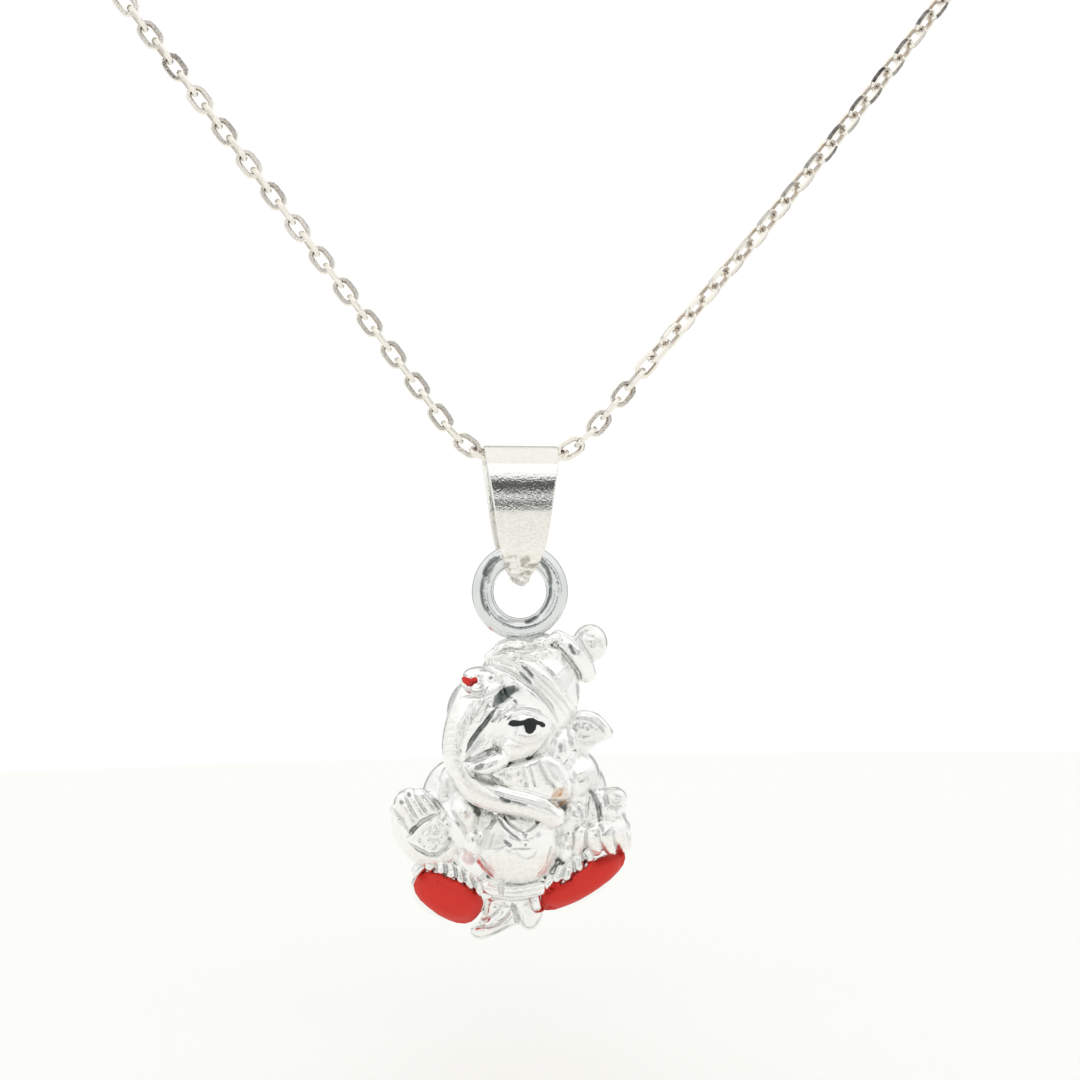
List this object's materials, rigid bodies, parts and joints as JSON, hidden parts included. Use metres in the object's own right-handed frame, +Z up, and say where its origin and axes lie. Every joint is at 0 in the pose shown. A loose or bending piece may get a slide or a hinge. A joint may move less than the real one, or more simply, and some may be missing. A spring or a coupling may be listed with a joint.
{
  "type": "ganesha pendant on a cable chain",
  "caption": "Cast silver figure pendant with red enamel legs, hanging by a soldered ring and a folded bail on a fine cable chain worn round the neck.",
  "frame": {"origin": "the nape of the neck, at the middle of the clasp, with the necklace held as it is worn", "axes": "+X to the viewer's right, +Y from the pendant's front to its back, +Z up; the pendant faces -Y"},
  "size_m": [0.1186, 0.1096, 0.134],
  "materials": {
    "chain_silver": "diamond cut and polished",
    "bail_silver": "polished and lightly brushed",
    "figure_silver": "polished high places, frosted hollows",
    "red_enamel": "smooth satin enamel",
    "black_enamel": "gloss enamel"
  },
  "bodies": {
    "chain_and_clasp": {"chain": "chain_silver", "clasp": "chain_silver"},
    "bail_body": {"bail": "bail_silver"},
    "pendant": {"figure_with_ring": "figure_silver", "left_leg_enamel": "red_enamel", "right_leg_enamel": "red_enamel", "forehead_enamel": "red_enamel", "eye_enamel": "black_enamel"}
  },
  "joints": [
    {"name": "bail_swing", "type": "hinge", "parent": "chain_and_clasp", "child": "bail_body", "pos_m": [0, -0.105, -0.104], "axis": [1, 0, 0], "range_deg": [-60, 60]},
    {"name": "pendant_swing", "type": "hinge", "parent": "bail_body", "child": "pendant", "pos_m": [0, -0.105, -0.10963], "axis": [1, 0, 0], "range_deg": [-50, 50]}
  ]
}
